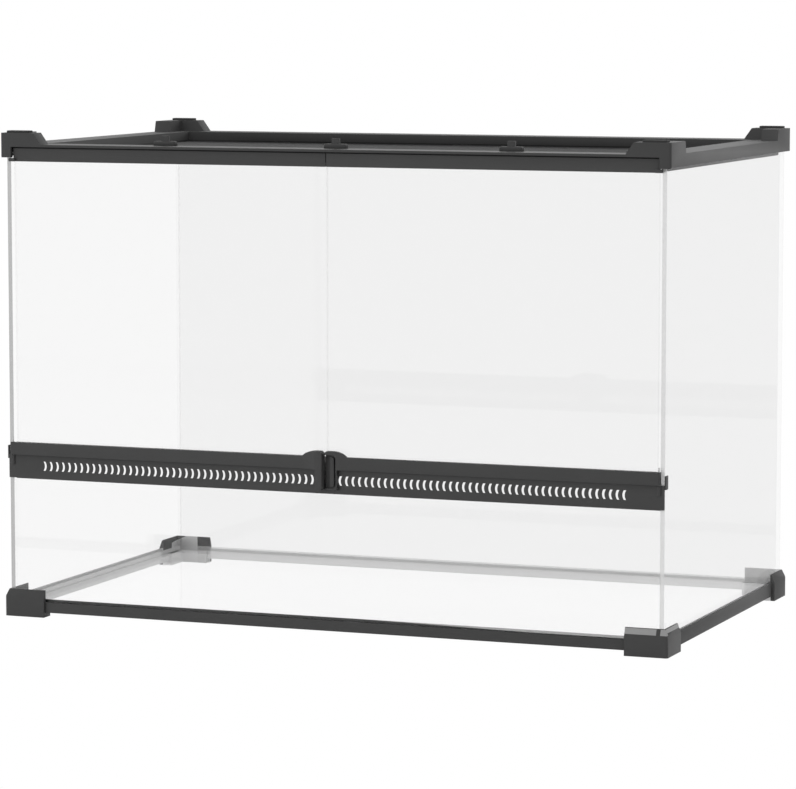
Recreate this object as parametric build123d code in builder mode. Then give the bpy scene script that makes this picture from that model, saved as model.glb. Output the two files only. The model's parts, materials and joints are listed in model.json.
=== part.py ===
from build123d import *
import os

# Front-opening glass terrarium, 20 x 12 x 14 inch class.  All sizes are in millimetres.
# +Z is up, the doors face -Y, and the origin is on the floor under the middle of the glass box.

# Glass box
GLASS_WIDTH = 500.0
GLASS_DEPTH = 292.8
GLASS_HEIGHT = 333.1
PANE = 3.4
PANE_BOTTOM = 5.4
FLOOR_RAISE = 4.1
GLASS_GAP = 0.2

HALF_W = GLASS_WIDTH / 2
HALF_D = GLASS_DEPTH / 2
INNER_W = HALF_W - PANE
INNER_D = HALF_D - PANE
PANE_TOP = PANE_BOTTOM + GLASS_HEIGHT
FLOOR_BOTTOM = PANE_BOTTOM + FLOOR_RAISE

# Moulded feet: an outer wall round the glass and an inner ledge under the floor pane
FOOT_WALL = 3.6
CORNER_ROUND = 2.0
FOOT_LEDGE = 3.4
FOOT_GRIP = 14.4
FOOT_TAPER = 6.4
FOOT_LIP = 0.9
FOOT_LEG = 31.4
FOOT_TOP = PANE_BOTTOM + FOOT_GRIP
FOOT_TAPER_START = FOOT_TOP - FOOT_TAPER
FOOT_OUT_X = HALF_W + FOOT_WALL
FOOT_OUT_Y = HALF_D + FOOT_WALL
FOOT_END_X = FOOT_OUT_X - FOOT_LEG
FOOT_END_Y = FOOT_OUT_Y - FOOT_LEG

# Bottom rails: shallow channels under the wall panes, tongued into the feet
RAIL_WEB = 1.9
RAIL_LIP = 1.2
RAIL_FRONT_GRIP = 5.6
RAIL_SIDE_GRIP = 8.3
RAIL_INNER = 1.2
TONGUE = 5.0
TONGUE_GAP = 0.15
RAIL_BOTTOM = PANE_BOTTOM - RAIL_WEB
RAIL_FRONT_TOP = PANE_BOTTOM + RAIL_FRONT_GRIP
RAIL_SIDE_TOP = PANE_BOTTOM + RAIL_SIDE_GRIP

# Top frame: a hollow rim with a raised block on each corner
RIM_ABOVE_GLASS = 6.4
RIM_PLATE = 1.8
RIM_SKIRT = 8.75
RIM_FLANGE = 11.8
RIM_WELL = 12.5
RIM_WALL = 1.4
RIM_WIDTH = 25.0
BLOCK_HEIGHT = 8.3
BLOCK_WALL = 12.8
BLOCK_LEG_X = 26.5
BLOCK_LEG_Y = 33.0
BLOCK_SLOPE_X = 6.0
BLOCK_SLOPE_Y = 2.2
LEG_WIDTH = 8.2
LEG_INSET = 0.6
RIM_TOP = PANE_TOP + RIM_ABOVE_GLASS
PLATE_BOTTOM = RIM_TOP - RIM_PLATE
SKIRT_BOTTOM = RIM_TOP - RIM_SKIRT
FLANGE_BOTTOM = RIM_TOP - RIM_FLANGE
WELL_BOTTOM = RIM_TOP - RIM_WELL
BLOCK_TOP = RIM_TOP + BLOCK_HEIGHT
RIM_OUT_X = HALF_W + FOOT_WALL
RIM_OUT_Y = HALF_D + FOOT_WALL
OPEN_X = RIM_OUT_X - RIM_WIDTH
OPEN_Y = RIM_OUT_Y - RIM_WIDTH

# Stacking pads on the corner blocks
PAD_LENGTH = 18.0
PAD_WIDTH = 8.0
PAD_HEIGHT = 1.6
PAD_INSET = 12.6
PAD_ROUND = 1.5
PAD_EDGE = 0.5

# Screen top
LEDGE_DEPTH = 9.9
LEDGE_THICK = 1.4
LEDGE_WIDTH = 6.0
SCREEN_GAP = 0.6
SCREEN_BORDER = 9.0
SCREEN_THICK = 2.4
MESH_THICK = 0.8
MESH_SEAT = 4.0
GRID_ACROSS = 12
GRID_DEEP = 6
GRID_BAR = 3.0
LUG_LENGTH = 18.0
LUG_DEPTH = 3.0
LATCH_CLEAR = 0.3
HOOK_LENGTH = 14.0
HOOK_REACH = 3.4
HOOK_THICK = 1.2
HOOK_SIDE_ROOM = 0.5
HOOK_ROOM_UP = 0.6
HOOK_ROOM_DOWN = 2.2
HOOK_ROOM_IN = 1.8
HOOK_AT = (-150.0, 0.0, 150.0)
LEDGE_TOP = RIM_TOP - LEDGE_DEPTH
MESH_TOP = LEDGE_TOP + SCREEN_THICK

# Screen latches: T-shaped slides on the front rim
LATCH_AT = {"left": -132.0, "middle": 0.0, "right": 131.5}
LATCH_FROM_EDGE = 3.4
LATCH_BAR = 16.8
LATCH_DEPTH = 6.0
LATCH_HEIGHT = 3.2
LATCH_ROUND = 1.2
LATCH_CHAMFER = 0.8
LATCH_TAB = 5.8
LATCH_TAB_THICK = 2.2
LATCH_TAB_HEIGHT = 7.0
LATCH_TRAVEL = 2.8
LATCH_STEM = 1.8
LATCH_STEM_LENGTH = 5.0
LATCH_STEM_BACK = 2.0
LATCH_HEAD = 9.0
LATCH_HEAD_THICK = 1.2
SLIDE_GAP = 0.3
LATCH_Y = -OPEN_Y - LATCH_FROM_EDGE
STEM_Y = LATCH_Y - LATCH_STEM_BACK

# Vent bar over the lower front pane
VENT_BOTTOM = 102.1
VENT_HEIGHT = 16.9
VENT_PROUD = 1.8
VENT_END_GAP = 0.2
VENT_CHANNEL = 5.0
VENT_WEB = 1.5
VENT_FLANGE = 1.3
VENT_FLANGE_DROP = 1.1
VENT_RIB = 2.1
VENT_RIB_BACK = 1.0
VENT_THIN = 0.6
SLOT_COUNT = 44
SLOT_PITCH = 4.89
SLOT_FIRST = 9.3
SLOT_HEIGHT = 6.8
SLOT_WIDTH = 2.0
SLOT_BOW = 1.1
SLOT_RAISE = 9.2
CLIP_THICK = 1.0
CLIP_DROP = 2.9
CLIP_HEIGHT = 9.5
CLIP_REACH = 4.0
CLIP_BACK = 0.4
CLIP_LAP = 2.0
LOWER_PANE_GAP = 0.1
VENT_TOP = VENT_BOTTOM + VENT_HEIGHT
VENT_END = HALF_W - VENT_END_GAP
VENT_CHANNEL_TOP = VENT_BOTTOM + VENT_CHANNEL
VENT_FLANGE_BOTTOM = VENT_BOTTOM - VENT_FLANGE_DROP
VENT_RIB_BOTTOM = VENT_TOP - VENT_RIB
SLOT_CENTRE_Z = VENT_BOTTOM + SLOT_RAISE
CLIP_BOTTOM = VENT_TOP - CLIP_DROP
CLIP_TOP = CLIP_BOTTOM + CLIP_HEIGHT
LOWER_PANE_TOP = VENT_CHANNEL_TOP - VENT_WEB - LOWER_PANE_GAP

# Doors
DOOR_GAP = 0.6
DOOR_LIFT = 0.4
DOOR_TOP_GAP = 1.0
DOOR_SIDE_GAP = 2.2
DOOR_SIDE_ROOM = 0.9
DOOR_BACK_ROOM = 0.3
TOP_TRIM = 9.5
TOP_TRIM_CAP = 1.6
TRIM_FRONT = 1.0
TRIM_BACK = 1.0
TRIM_HEIGHT = 8.9
TRIM_FLOOR = 1.6
TRIM_PROUD = 5.4
TRIM_OUTER_BACK = 2.3
TRIM_INSET = 2.5
TRIM_END_ROUND = 1.5
TRIM_BACK_HEIGHT = 4.6
DOOR_END = INNER_W - DOOR_SIDE_GAP
TOP_TRIM_TOP = PLATE_BOTTOM - DOOR_TOP_GAP
TOP_TRIM_BOTTOM = TOP_TRIM_TOP - TOP_TRIM
DOOR_GLASS_TOP = TOP_TRIM_TOP - TOP_TRIM_CAP
TRIM_BOTTOM = VENT_TOP + DOOR_LIFT
TRIM_TOP = TRIM_BOTTOM + TRIM_HEIGHT
TRIM_BACK_TOP = TRIM_BOTTOM + TRIM_BACK_HEIGHT
TRIM_END = HALF_W - TRIM_INSET
DOOR_GLASS_BOTTOM = TRIM_BOTTOM + TRIM_FLOOR

# Door handles: a hump on the bottom trim and a tab that hangs over the vent bar
HANDLE_GAP = 0.4
HUMP_HEIGHT = 4.2
HUMP_FOOT = 17.2
HUMP_SHOULDER = 10.1
HUMP_MID_SHARE = 0.62
HUMP_SHOULDER_DROP = 0.4
HUMP_SHOULDER_RUN = 3.0
HUMP_NOTCH_RUN = 2.2
HUMP_NOTCH_DROP = 1.6
HUMP_FOOT_RUN = 1.0
HANDLE_PROUD = 9.1
TAB_RAISE = 2.9
TAB_BACK = 2.5
PULL_WIDTH = 5.2
POCKET_PROUD = 7.0
POCKET_FLOOR = 5.0
POCKET_WIDTH = 9.0
POCKET_DROP = 2.5
POCKET_ROUND = 3.0
POCKET_TAB = 9.5
POCKET_DEEP = 3.2
POCKET_DEEP_WIDTH = 3.9
POCKET_DEEP_DROP = 1.2
PAD_LINE_OUT = 8.7
PAD_LINE_WIDTH = 1.4
PAD_LINE_DEPTH = 2.0
PAD_LINE_ROUND = 2.8
PAD_LINE_RAISE = 1.0
PAD_LINE_DROP = 0.3
HUMP_TOP = TRIM_TOP + HUMP_HEIGHT
TAB_BOTTOM = VENT_BOTTOM + TAB_RAISE
POCKET_TOP = HUMP_TOP - POCKET_DROP

# Door hinges: one vertical pin at the top and one at the bottom of each door
PIVOT_IN = 3.7
PIVOT_OUT = 2.1
PIN_RADIUS = 0.6
PIN_CLEARANCE = 0.05
BARREL_RADIUS = 1.4
BOSS_FLOOR = 1.0
TOP_EAR = 2.4
TOP_EAR_GAP = 0.4
TOP_EAR_LAP = 2.0
TOP_PIN_REACH = 5.0
LOW_PIN_DEPTH = 6.0
LOW_PIN_PROUD = 3.1
PIVOT_X = HALF_W - PIVOT_IN
PIVOT_Y = -HALF_D - PIVOT_OUT
PIN_HOLE = PIN_RADIUS + PIN_CLEARANCE
LEG_BOTTOM = TOP_TRIM_BOTTOM + TOP_EAR + TOP_EAR_GAP
LOW_PIN_TOP = TRIM_TOP + LOW_PIN_PROUD

# Door magnets in the handle tabs and the steel strike plates in the vent bar
MAGNET_RADIUS = 1.6
MAGNET_LENGTH = 1.0
MAGNET_X = {"left": -3.0, "right": 5.9}
MAGNET_RAISE = 9.9
STRIKE_LENGTH = 5.2
STRIKE_HEIGHT = 6.0
STRIKE_THICK = 0.8
MAGNET_Z = VENT_BOTTOM + MAGNET_RAISE

# How far a cutting shape reaches past the surface it cuts
OVERCUT = 1.0

SIDES = {"left": -1, "right": 1}
ENDS = {"front": -1, "back": 1}


def save(part, name):
    """Label one finished piece and write it as its own file."""
    part.label = name
    export_step(part, "parts/" + name + ".step")


def block(x0, x1, y0, y1, z0, z1, mode=Mode.ADD):
    """Extrude a rectangle given by its limits along the three axes."""
    with BuildSketch(Plane.XY.offset(z0)) as base:
        with Locations(((x0 + x1) / 2, (y0 + y1) / 2)):
            Rectangle(abs(x1 - x0), abs(y1 - y0))
    extrude(base.sketch, amount=z1 - z0, mode=mode)


def prism_x(points, x0, x1, mode=Mode.ADD):
    """Extrude a profile in the YZ plane from x0 to x1."""
    with BuildSketch(Plane.YZ.offset(min(x0, x1))) as profile:
        with BuildLine():
            Polyline(*points, close=True)
        make_face()
    extrude(profile.sketch, amount=abs(x1 - x0), mode=mode)


def prism_y(points, y0, y1, mode=Mode.ADD):
    """Extrude a profile in the XZ plane from the back y1 to the front y0."""
    with BuildSketch(Plane.XZ.offset(-y1)) as profile:
        with BuildLine():
            Polyline(*points, close=True)
        make_face()
    extrude(profile.sketch, amount=y1 - y0, mode=mode)


def post(x, y, radius, z0, z1, mode=Mode.ADD):
    """Extrude a vertical cylinder."""
    with BuildSketch(Plane.XY.offset(z0)) as base:
        with Locations((x, y)):
            Circle(radius)
    extrude(base.sketch, amount=z1 - z0, mode=mode)


def wall_groove(z0, z1, mode):
    """Cut the slot that the four wall panes stand in, with its clearance."""
    with BuildSketch(Plane.XY.offset(z0)) as ring:
        Rectangle(GLASS_WIDTH + 2 * GLASS_GAP, GLASS_DEPTH + 2 * GLASS_GAP)
        Rectangle(2 * (INNER_W - GLASS_GAP), 2 * (INNER_D - GLASS_GAP), mode=Mode.SUBTRACT)
    extrude(ring.sketch, amount=z1 - z0, mode=mode)


os.makedirs("parts", exist_ok=True)

# ---------------------------------------------------------------- glass box

with BuildPart() as floor_glass:
    block(-INNER_W, INNER_W, -INNER_D, INNER_D, FLOOR_BOTTOM, FLOOR_BOTTOM + PANE)
save(floor_glass.part, "floor_glass")

with BuildPart() as back_glass:
    block(-INNER_W, INNER_W, INNER_D, HALF_D, PANE_BOTTOM, PANE_TOP)
save(back_glass.part, "back_glass")

with BuildPart() as front_lower_glass:
    block(-INNER_W, INNER_W, -HALF_D, -INNER_D, PANE_BOTTOM, LOWER_PANE_TOP)
save(front_lower_glass.part, "front_lower_glass")

for side, sx in SIDES.items():
    with BuildPart() as side_glass:
        block(sx * INNER_W, sx * HALF_W, -HALF_D, HALF_D, PANE_BOTTOM, PANE_TOP)
    save(side_glass.part, side + "_glass")

# ---------------------------------------------------------------- feet and bottom rails

for end, sy in ENDS.items():
    for side, sx in SIDES.items():
        ledge_x = INNER_W - GLASS_GAP - FOOT_LEDGE
        ledge_y = INNER_D - GLASS_GAP - FOOT_LEDGE
        wall_x = HALF_W + GLASS_GAP
        wall_y = HALF_D + GLASS_GAP
        with BuildPart() as foot:
            # the L-shaped base carries the panes, and its inner edge the floor pane
            block(sx * FOOT_END_X, sx * FOOT_OUT_X, sy * ledge_y, sy * FOOT_OUT_Y, 0, FLOOR_BOTTOM)
            block(sx * ledge_x, sx * FOOT_OUT_X, sy * FOOT_END_Y, sy * FOOT_OUT_Y, 0, FLOOR_BOTTOM)
            # the outer wall rises in front of the glass
            block(sx * FOOT_END_X, sx * FOOT_OUT_X, sy * wall_y, sy * FOOT_OUT_Y, 0, FOOT_TOP)
            block(sx * wall_x, sx * FOOT_OUT_X, sy * FOOT_END_Y, sy * FOOT_OUT_Y, 0, FOOT_TOP)
            # the vertical outer corner is rounded
            corner = (sx * FOOT_OUT_X, sy * FOOT_OUT_Y, FOOT_TOP / 2)
            outer = foot.edges().filter_by(Axis.Z).sort_by_distance(corner)
            fillet(outer[0], radius=CORNER_ROUND)
            # the outer wall leans in to a thin lip at its top edge
            prism_y(
                [
                    (sx * FOOT_OUT_X, FOOT_TAPER_START),
                    (sx * (FOOT_OUT_X + OVERCUT), FOOT_TAPER_START),
                    (sx * (FOOT_OUT_X + OVERCUT), FOOT_TOP),
                    (sx * (wall_x + FOOT_LIP), FOOT_TOP),
                ],
                -FOOT_OUT_Y - OVERCUT,
                FOOT_OUT_Y + OVERCUT,
                mode=Mode.SUBTRACT,
            )
            prism_x(
                [
                    (sy * FOOT_OUT_Y, FOOT_TAPER_START),
                    (sy * (FOOT_OUT_Y + OVERCUT), FOOT_TAPER_START),
                    (sy * (FOOT_OUT_Y + OVERCUT), FOOT_TOP),
                    (sy * (wall_y + FOOT_LIP), FOOT_TOP),
                ],
                -FOOT_OUT_X - OVERCUT,
                FOOT_OUT_X + OVERCUT,
                mode=Mode.SUBTRACT,
            )
            # the wall panes stand in a groove
            wall_groove(PANE_BOTTOM, FOOT_TOP + OVERCUT, Mode.SUBTRACT)
            # sockets for the tongues of the two rails
            socket_low = RAIL_BOTTOM - TONGUE_GAP
            socket_in_x = FOOT_END_X + TONGUE + TONGUE_GAP
            socket_in_y = FOOT_END_Y + TONGUE + TONGUE_GAP
            rail_in_y = INNER_D - GLASS_GAP - RAIL_INNER - TONGUE_GAP
            rail_in_x = INNER_W - GLASS_GAP - RAIL_INNER - TONGUE_GAP
            rail_out_y = HALF_D + GLASS_GAP + RAIL_LIP + TONGUE_GAP
            rail_out_x = HALF_W + GLASS_GAP + RAIL_LIP + TONGUE_GAP
            block(
                sx * (FOOT_END_X - OVERCUT),
                sx * socket_in_x,
                sy * rail_in_y,
                sy * rail_out_y,
                socket_low,
                PANE_BOTTOM,
                mode=Mode.SUBTRACT,
            )
            block(
                sx * rail_in_x,
                sx * rail_out_x,
                sy * (FOOT_END_Y - OVERCUT),
                sy * socket_in_y,
                socket_low,
                PANE_BOTTOM,
                mode=Mode.SUBTRACT,
            )
        save(foot.part, "foot_" + end + "_" + side)

for end, sy in ENDS.items():
    with BuildPart() as long_rail:
        rail_low = INNER_D - GLASS_GAP - RAIL_INNER
        rail_out = HALF_D + GLASS_GAP + RAIL_LIP
        reach = FOOT_END_X + TONGUE
        block(-reach, reach, sy * rail_low, sy * rail_out, RAIL_BOTTOM, PANE_BOTTOM - TONGUE_GAP)
        block(
            -FOOT_END_X,
            FOOT_END_X,
            sy * (HALF_D + GLASS_GAP),
            sy * rail_out,
            RAIL_BOTTOM,
            RAIL_FRONT_TOP,
        )
        block(-FOOT_END_X, FOOT_END_X, sy * rail_low, sy * (INNER_D - GLASS_GAP), RAIL_BOTTOM, FLOOR_BOTTOM)
    save(long_rail.part, end + "_bottom_rail")

for side, sx in SIDES.items():
    with BuildPart() as side_rail:
        rail_low = INNER_W - GLASS_GAP - RAIL_INNER
        rail_out = HALF_W + GLASS_GAP + RAIL_LIP
        reach = FOOT_END_Y + TONGUE
        block(sx * rail_low, sx * rail_out, -reach, reach, RAIL_BOTTOM, PANE_BOTTOM - TONGUE_GAP)
        block(
            sx * (HALF_W + GLASS_GAP),
            sx * rail_out,
            -FOOT_END_Y,
            FOOT_END_Y,
            RAIL_BOTTOM,
            RAIL_SIDE_TOP,
        )
        block(sx * rail_low, sx * (INNER_W - GLASS_GAP), -FOOT_END_Y, FOOT_END_Y, RAIL_BOTTOM, FLOOR_BOTTOM)
    save(side_rail.part, side + "_bottom_rail")

# ---------------------------------------------------------------- top frame

with BuildPart() as top_frame:
    # flat rim plate all round the screen opening
    with BuildSketch(Plane.XY.offset(PLATE_BOTTOM)):
        RectangleRounded(2 * RIM_OUT_X, 2 * RIM_OUT_Y, CORNER_ROUND)
        Rectangle(2 * OPEN_X, 2 * OPEN_Y, mode=Mode.SUBTRACT)
    extrude(amount=RIM_PLATE)
    # outer skirt over the glass, open across the doors
    with BuildSketch(Plane.XY.offset(SKIRT_BOTTOM)):
        RectangleRounded(2 * RIM_OUT_X, 2 * RIM_OUT_Y, CORNER_ROUND)
        Rectangle(GLASS_WIDTH + 2 * GLASS_GAP, GLASS_DEPTH + 2 * GLASS_GAP, mode=Mode.SUBTRACT)
    extrude(amount=PLATE_BOTTOM - SKIRT_BOTTOM)
    # inner flange behind the glass and, at the front, behind the door trims
    with BuildSketch(Plane.XY.offset(FLANGE_BOTTOM)):
        Rectangle(2 * (INNER_W - GLASS_GAP), 2 * (INNER_D - GLASS_GAP))
        Rectangle(
            2 * (INNER_W - GLASS_GAP - RIM_WALL),
            2 * (INNER_D - GLASS_GAP - RIM_WALL),
            mode=Mode.SUBTRACT,
        )
    extrude(amount=PLATE_BOTTOM - FLANGE_BOTTOM)
    # wall and ledge round the screen
    with BuildSketch(Plane.XY.offset(WELL_BOTTOM)):
        Rectangle(2 * (OPEN_X + RIM_WALL), 2 * (OPEN_Y + RIM_WALL))
        Rectangle(2 * OPEN_X, 2 * OPEN_Y, mode=Mode.SUBTRACT)
    extrude(amount=PLATE_BOTTOM - WELL_BOTTOM)
    with BuildSketch(Plane.XY.offset(LEDGE_TOP - LEDGE_THICK)):
        Rectangle(2 * OPEN_X, 2 * OPEN_Y)
        Rectangle(2 * (OPEN_X - LEDGE_WIDTH), 2 * (OPEN_Y - LEDGE_WIDTH), mode=Mode.SUBTRACT)
    extrude(amount=LEDGE_THICK)
    # top of the glass: the panes end under a web between the skirt and the flange
    with BuildSketch(Plane.XY.offset(PANE_TOP + GLASS_GAP)):
        Rectangle(2 * (RIM_OUT_X - RIM_WALL / 2), 2 * (RIM_OUT_Y - RIM_WALL / 2))
        Rectangle(2 * (INNER_W - RIM_WALL / 2), 2 * (INNER_D - RIM_WALL / 2), mode=Mode.SUBTRACT)
        with Locations((0, -HALF_D)):
            Rectangle(2 * HALF_W, 4 * PANE, mode=Mode.SUBTRACT)
    extrude(amount=RIM_WALL)
    # the doors close in front of the flange, under the rim plate
    room_x = DOOR_END + DOOR_SIDE_ROOM
    room_back = -INNER_D + TRIM_BACK + DOOR_BACK_ROOM
    block(
        -room_x,
        room_x,
        -RIM_OUT_Y - OVERCUT,
        room_back,
        WELL_BOTTOM,
        PLATE_BOTTOM,
        mode=Mode.SUBTRACT,
    )
    block(-room_x, room_x, room_back, room_back + RIM_WALL, FLANGE_BOTTOM, PLATE_BOTTOM)
    for sx in (-1, 1):
        # solid leg in front of the side pane, which carries the top hinge pin
        block(
            sx * (RIM_OUT_X - LEG_WIDTH),
            sx * (RIM_OUT_X - LEG_INSET),
            -RIM_OUT_Y,
            -HALF_D - GLASS_GAP,
            LEG_BOTTOM,
            PLATE_BOTTOM,
        )
        for sy in (-1, 1):
            # raised corner block: two arms with sloping ends
            end_x = RIM_OUT_X - BLOCK_LEG_X
            end_y = RIM_OUT_Y - BLOCK_LEG_Y
            prism_y(
                [
                    (sx * RIM_OUT_X, RIM_TOP),
                    (sx * RIM_OUT_X, BLOCK_TOP),
                    (sx * end_x, BLOCK_TOP),
                    (sx * (end_x - BLOCK_SLOPE_X), RIM_TOP),
                ],
                min(sy * RIM_OUT_Y, sy * (RIM_OUT_Y - BLOCK_WALL)),
                max(sy * RIM_OUT_Y, sy * (RIM_OUT_Y - BLOCK_WALL)),
            )
            prism_x(
                [
                    (sy * RIM_OUT_Y, RIM_TOP),
                    (sy * RIM_OUT_Y, BLOCK_TOP),
                    (sy * end_y, BLOCK_TOP),
                    (sy * (end_y - BLOCK_SLOPE_Y), RIM_TOP),
                ],
                sx * RIM_OUT_X,
                sx * (RIM_OUT_X - BLOCK_WALL),
            )
    # vertical outer corners are rounded
    with BuildSketch(Plane.XY.offset(WELL_BOTTOM)):
        RectangleRounded(2 * RIM_OUT_X, 2 * RIM_OUT_Y, CORNER_ROUND)
    extrude(amount=BLOCK_TOP - WELL_BOTTOM, mode=Mode.INTERSECT)
    # top hinge pin holes
    for sx in (-1, 1):
        post(sx * PIVOT_X, PIVOT_Y, PIN_RADIUS, LEG_BOTTOM, LEG_BOTTOM + TOP_PIN_REACH, mode=Mode.SUBTRACT)
    # slots for the latch stems
    slot_x = LATCH_STEM_LENGTH / 2 + SLIDE_GAP
    slot_back = STEM_Y - LATCH_STEM / 2 - SLIDE_GAP
    slot_front = STEM_Y + LATCH_STEM / 2 + LATCH_TRAVEL + SLIDE_GAP
    for x in LATCH_AT.values():
        block(x - slot_x, x + slot_x, slot_back, slot_front, PLATE_BOTTOM, RIM_TOP, mode=Mode.SUBTRACT)
    # windows for the screen's tongues in the back wall and ledge
    for x in HOOK_AT:
        half = HOOK_LENGTH / 2 + HOOK_SIDE_ROOM
        block(
            x - half,
            x + half,
            OPEN_Y - HOOK_ROOM_IN,
            OPEN_Y + HOOK_REACH - SCREEN_GAP,
            MESH_TOP - HOOK_THICK - HOOK_ROOM_DOWN,
            MESH_TOP + HOOK_ROOM_UP,
            mode=Mode.SUBTRACT,
        )
save(top_frame.part, "top_frame")

for end, sy in ENDS.items():
    for side, sx in SIDES.items():
        with BuildPart() as pad:
            with BuildSketch(Plane.XY.offset(BLOCK_TOP)):
                with Locations((sx * (RIM_OUT_X - PAD_INSET), sy * (RIM_OUT_Y - BLOCK_WALL / 2))):
                    RectangleRounded(PAD_LENGTH, PAD_WIDTH, PAD_ROUND)
            extrude(amount=PAD_HEIGHT)
            fillet(pad.faces().sort_by(Axis.Z)[-1].edges(), radius=PAD_EDGE)
        save(pad.part, "stacking_pad_" + end + "_" + side)

# ---------------------------------------------------------------- screen top

with BuildPart() as screen_frame:
    half_x = OPEN_X - SCREEN_GAP
    half_y = OPEN_Y - SCREEN_GAP
    mesh_x = half_x - SCREEN_BORDER + MESH_SEAT
    mesh_y = half_y - SCREEN_BORDER + MESH_SEAT
    with BuildSketch(Plane.XY.offset(LEDGE_TOP)):
        Rectangle(2 * half_x, 2 * half_y)
        Rectangle(2 * (half_x - SCREEN_BORDER), 2 * (half_y - SCREEN_BORDER), mode=Mode.SUBTRACT)
    extrude(amount=SCREEN_THICK)
    # the mesh lies in a step along the frame's inner edge
    with BuildSketch(Plane.XY.offset(MESH_TOP - MESH_THICK)):
        Rectangle(2 * mesh_x, 2 * mesh_y)
    extrude(amount=MESH_THICK, mode=Mode.SUBTRACT)
    # lugs that the latches slide over, and tongues under the back rim
    for x in LATCH_AT.values():
        block(
            x - LUG_LENGTH / 2,
            x + LUG_LENGTH / 2,
            -half_y,
            -half_y + LUG_DEPTH,
            LEDGE_TOP,
            RIM_TOP - LATCH_CLEAR,
        )
    for x in HOOK_AT:
        block(
            x - HOOK_LENGTH / 2,
            x + HOOK_LENGTH / 2,
            half_y - SCREEN_BORDER / 2,
            half_y + HOOK_REACH,
            MESH_TOP - HOOK_THICK,
            MESH_TOP,
        )
save(screen_frame.part, "screen_frame")

with BuildPart() as screen_mesh:
    block(-mesh_x, mesh_x, -mesh_y, mesh_y, MESH_TOP - MESH_THICK, MESH_TOP)
    # a plain grid of openings stands for the woven wire
    pitch_x = 2 * (half_x - SCREEN_BORDER) / GRID_ACROSS
    pitch_y = 2 * (half_y - SCREEN_BORDER) / GRID_DEEP
    with BuildSketch(Plane.XY.offset(MESH_TOP - MESH_THICK)):
        with GridLocations(pitch_x, pitch_y, GRID_ACROSS, GRID_DEEP):
            Rectangle(pitch_x - GRID_BAR, pitch_y - GRID_BAR)
    extrude(amount=MESH_THICK, mode=Mode.SUBTRACT)
save(screen_mesh.part, "screen_mesh")

for place, x in LATCH_AT.items():
    with BuildPart() as latch:
        with BuildSketch(Plane.XY.offset(RIM_TOP)):
            with Locations((x, LATCH_Y)):
                RectangleRounded(LATCH_BAR, LATCH_DEPTH, LATCH_ROUND)
        extrude(amount=LATCH_HEIGHT)
        chamfer(latch.faces().sort_by(Axis.Z)[-1].edges(), length=LATCH_CHAMFER)
        block(
            x - LATCH_TAB / 2,
            x + LATCH_TAB / 2,
            LATCH_Y - LATCH_TAB_THICK / 2,
            LATCH_Y + LATCH_TAB_THICK / 2,
            RIM_TOP + LATCH_HEIGHT / 2,
            RIM_TOP + LATCH_TAB_HEIGHT,
        )
        stem_low = PLATE_BOTTOM - SLIDE_GAP
        block(
            x - LATCH_STEM_LENGTH / 2,
            x + LATCH_STEM_LENGTH / 2,
            STEM_Y - LATCH_STEM / 2,
            STEM_Y + LATCH_STEM / 2,
            stem_low,
            RIM_TOP,
        )
        block(
            x - LATCH_HEAD / 2,
            x + LATCH_HEAD / 2,
            STEM_Y - LATCH_STEM / 2,
            STEM_Y + LATCH_STEM / 2,
            stem_low - LATCH_HEAD_THICK,
            stem_low,
        )
    save(latch.part, "screen_latch_" + place)

# ---------------------------------------------------------------- vent bar

BAR_FRONT = -HALF_D - VENT_PROUD
BAR_BACK = -INNER_D + VENT_FLANGE + GLASS_GAP
BAR_IN = INNER_W - GLASS_GAP


def vent_slots(sx):
    """Cut one row of curved slots, which bend towards the middle of the bar."""
    half = SLOT_HEIGHT / 2
    middle = SLOT_FIRST + (SLOT_COUNT - 1) * SLOT_PITCH / 2
    with BuildLine() as outline:
        near = ThreePointArc((sx * SLOT_BOW, half), (0, 0), (sx * SLOT_BOW, -half))
        across = Line(near @ 1, near @ 1 + Vector(sx * SLOT_WIDTH, 0))
        far = ThreePointArc(across @ 1, (sx * SLOT_WIDTH, 0), (sx * (SLOT_BOW + SLOT_WIDTH), half))
        Line(far @ 1, near @ 0)
    with BuildSketch(Plane.XY) as slot:
        make_face(outline.edges())
    with BuildSketch(Plane.XZ.offset(HALF_D - OVERCUT)) as row:
        with Locations((sx * middle, SLOT_CENTRE_Z)):
            with GridLocations(SLOT_PITCH, 1, SLOT_COUNT, 1):
                add(slot.sketch)
    extrude(row.sketch, amount=VENT_PROUD + 2 * OVERCUT, mode=Mode.SUBTRACT)


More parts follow.
